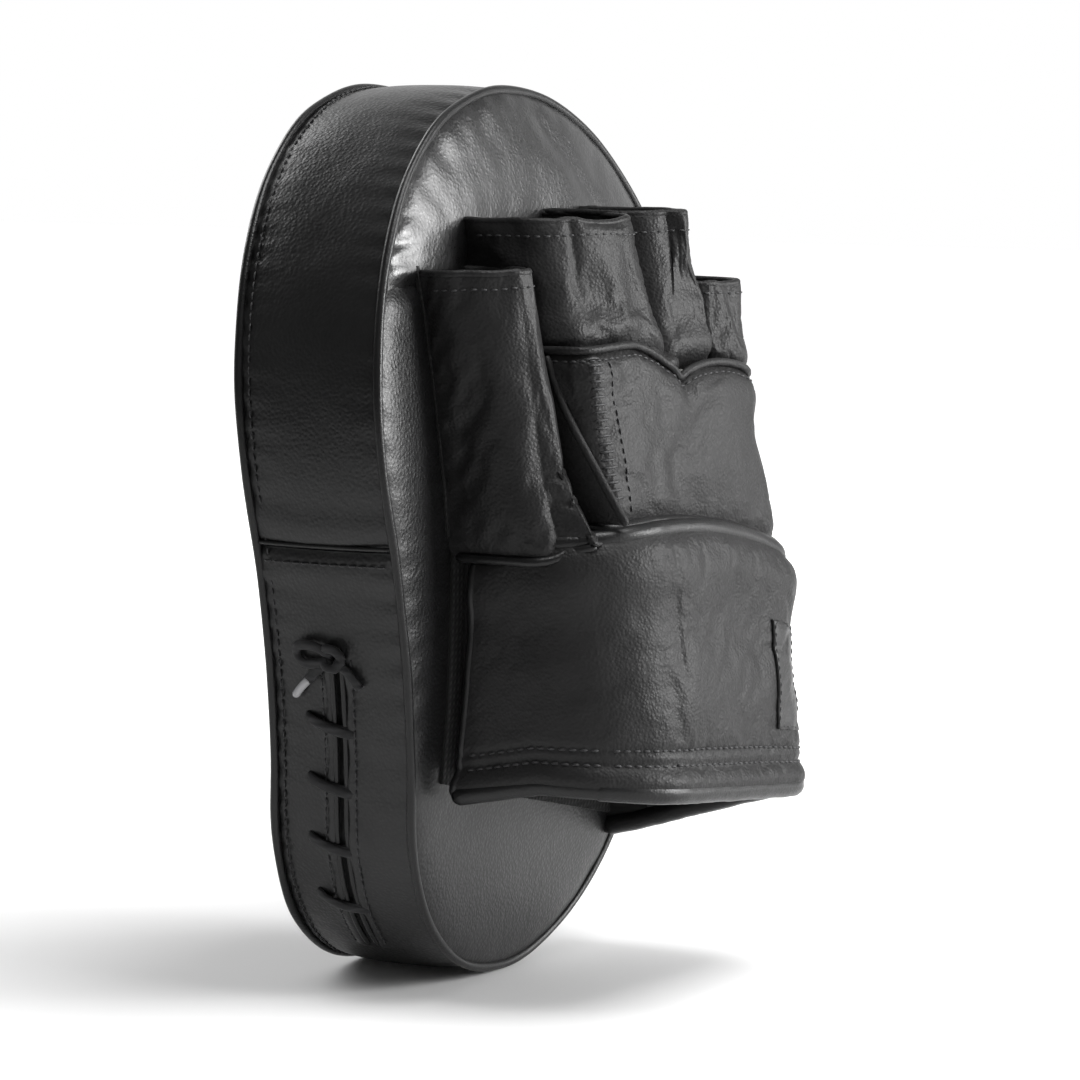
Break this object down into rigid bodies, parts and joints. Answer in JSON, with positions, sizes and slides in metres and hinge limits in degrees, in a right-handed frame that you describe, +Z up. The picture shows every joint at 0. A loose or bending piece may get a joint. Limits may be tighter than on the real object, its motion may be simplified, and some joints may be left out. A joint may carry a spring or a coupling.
{
  "type": "focus mitt",
  "caption": "Right-hand boxing focus mitt in black leather: curved padded target with a sewn-on glove, thumb sleeve, side lacing and a wide hook-and-loop wrist strap on its back.",
  "frame": {"origin": "palm centre on the back surface of the pad, half-way up the pad", "axes": "+Z up the pad towards the fingertips, +Y out of the striking face, -X towards the thumb"},
  "size_m": [0.1904, 0.1307, 0.2724],
  "materials": {
    "face_leather": "matte",
    "gloss_leather": "satin",
    "glove_leather": "satin",
    "trim_leather": "satin",
    "lining_fabric": "matte",
    "foam": "matte",
    "board": "matte",
    "lace": "matte",
    "lace_tip": "gloss",
    "hook": "matte",
    "loop": "matte"
  },
  "bodies": {
    "mitt": {"back_piping": "trim_leather", "backing_board": "board", "core_foam": "foam", "cuff_inner_flap": "glove_leather", "cuff_side_binding": "trim_leather", "cuff_side_lining": "lining_fabric", "cuff_side_padding": "foam", "cuff_side_wall": "glove_leather", "face_panel": "face_leather", "face_piping": "trim_leather", "gusset_seam_tapes": "trim_leather", "hand_back_lining": "lining_fabric", "hand_back_padding": "foam", "hand_back_panel": "glove_leather", "index_middle_binding": "trim_leather", "index_middle_sleeve": "glove_leather", "knuckle_welt": "trim_leather", "lace_knot": "lace", "lace_rungs": "lace", "lace_tip": "lace_tip", "lace_tongue": "trim_leather", "loop_patch": "loop", "lower_back_panel": "gloss_leather", "lower_gusset": "gloss_leather", "palm_grip": "glove_leather", "palm_liner": "lining_fabric", "pinky_binding": "trim_leather", "pinky_side_wall": "glove_leather", "pinky_sleeve": "glove_leather", "rear_foam": "foam", "ring_binding": "trim_leather", "ring_sleeve": "glove_leather", "strike_foam": "foam", "thumb_binding": "trim_leather", "thumb_side_wall": "glove_leather", "thumb_sleeve": "glove_leather", "upper_back_panel": "gloss_leather", "upper_gusset": "gloss_leather", "wrist_welt": "trim_leather"},
    "strap": {"strap_panel": "glove_leather", "strap_padding": "foam", "strap_lining": "lining_fabric", "strap_rim_binding": "trim_leather", "strap_top_piping": "trim_leather", "strap_label": "trim_leather"},
    "strap_tip": {"tip_panel": "glove_leather", "tip_lining": "lining_fabric", "tip_binding": "trim_leather", "hook_patch": "hook"}
  },
  "joints": [
    {"name": "wrist_strap_swing", "type": "hinge", "parent": "mitt", "child": "strap", "pos_m": [0.058, -0.0462, -0.04], "axis": [0, 0, 1], "range_deg": [0, 100]},
    {"name": "strap_tip_peel", "type": "hinge", "parent": "strap", "child": "strap_tip", "pos_m": [-0.058, -0.0462, -0.034], "axis": [0, 0, 1], "range_deg": [0, 70]}
  ]
}
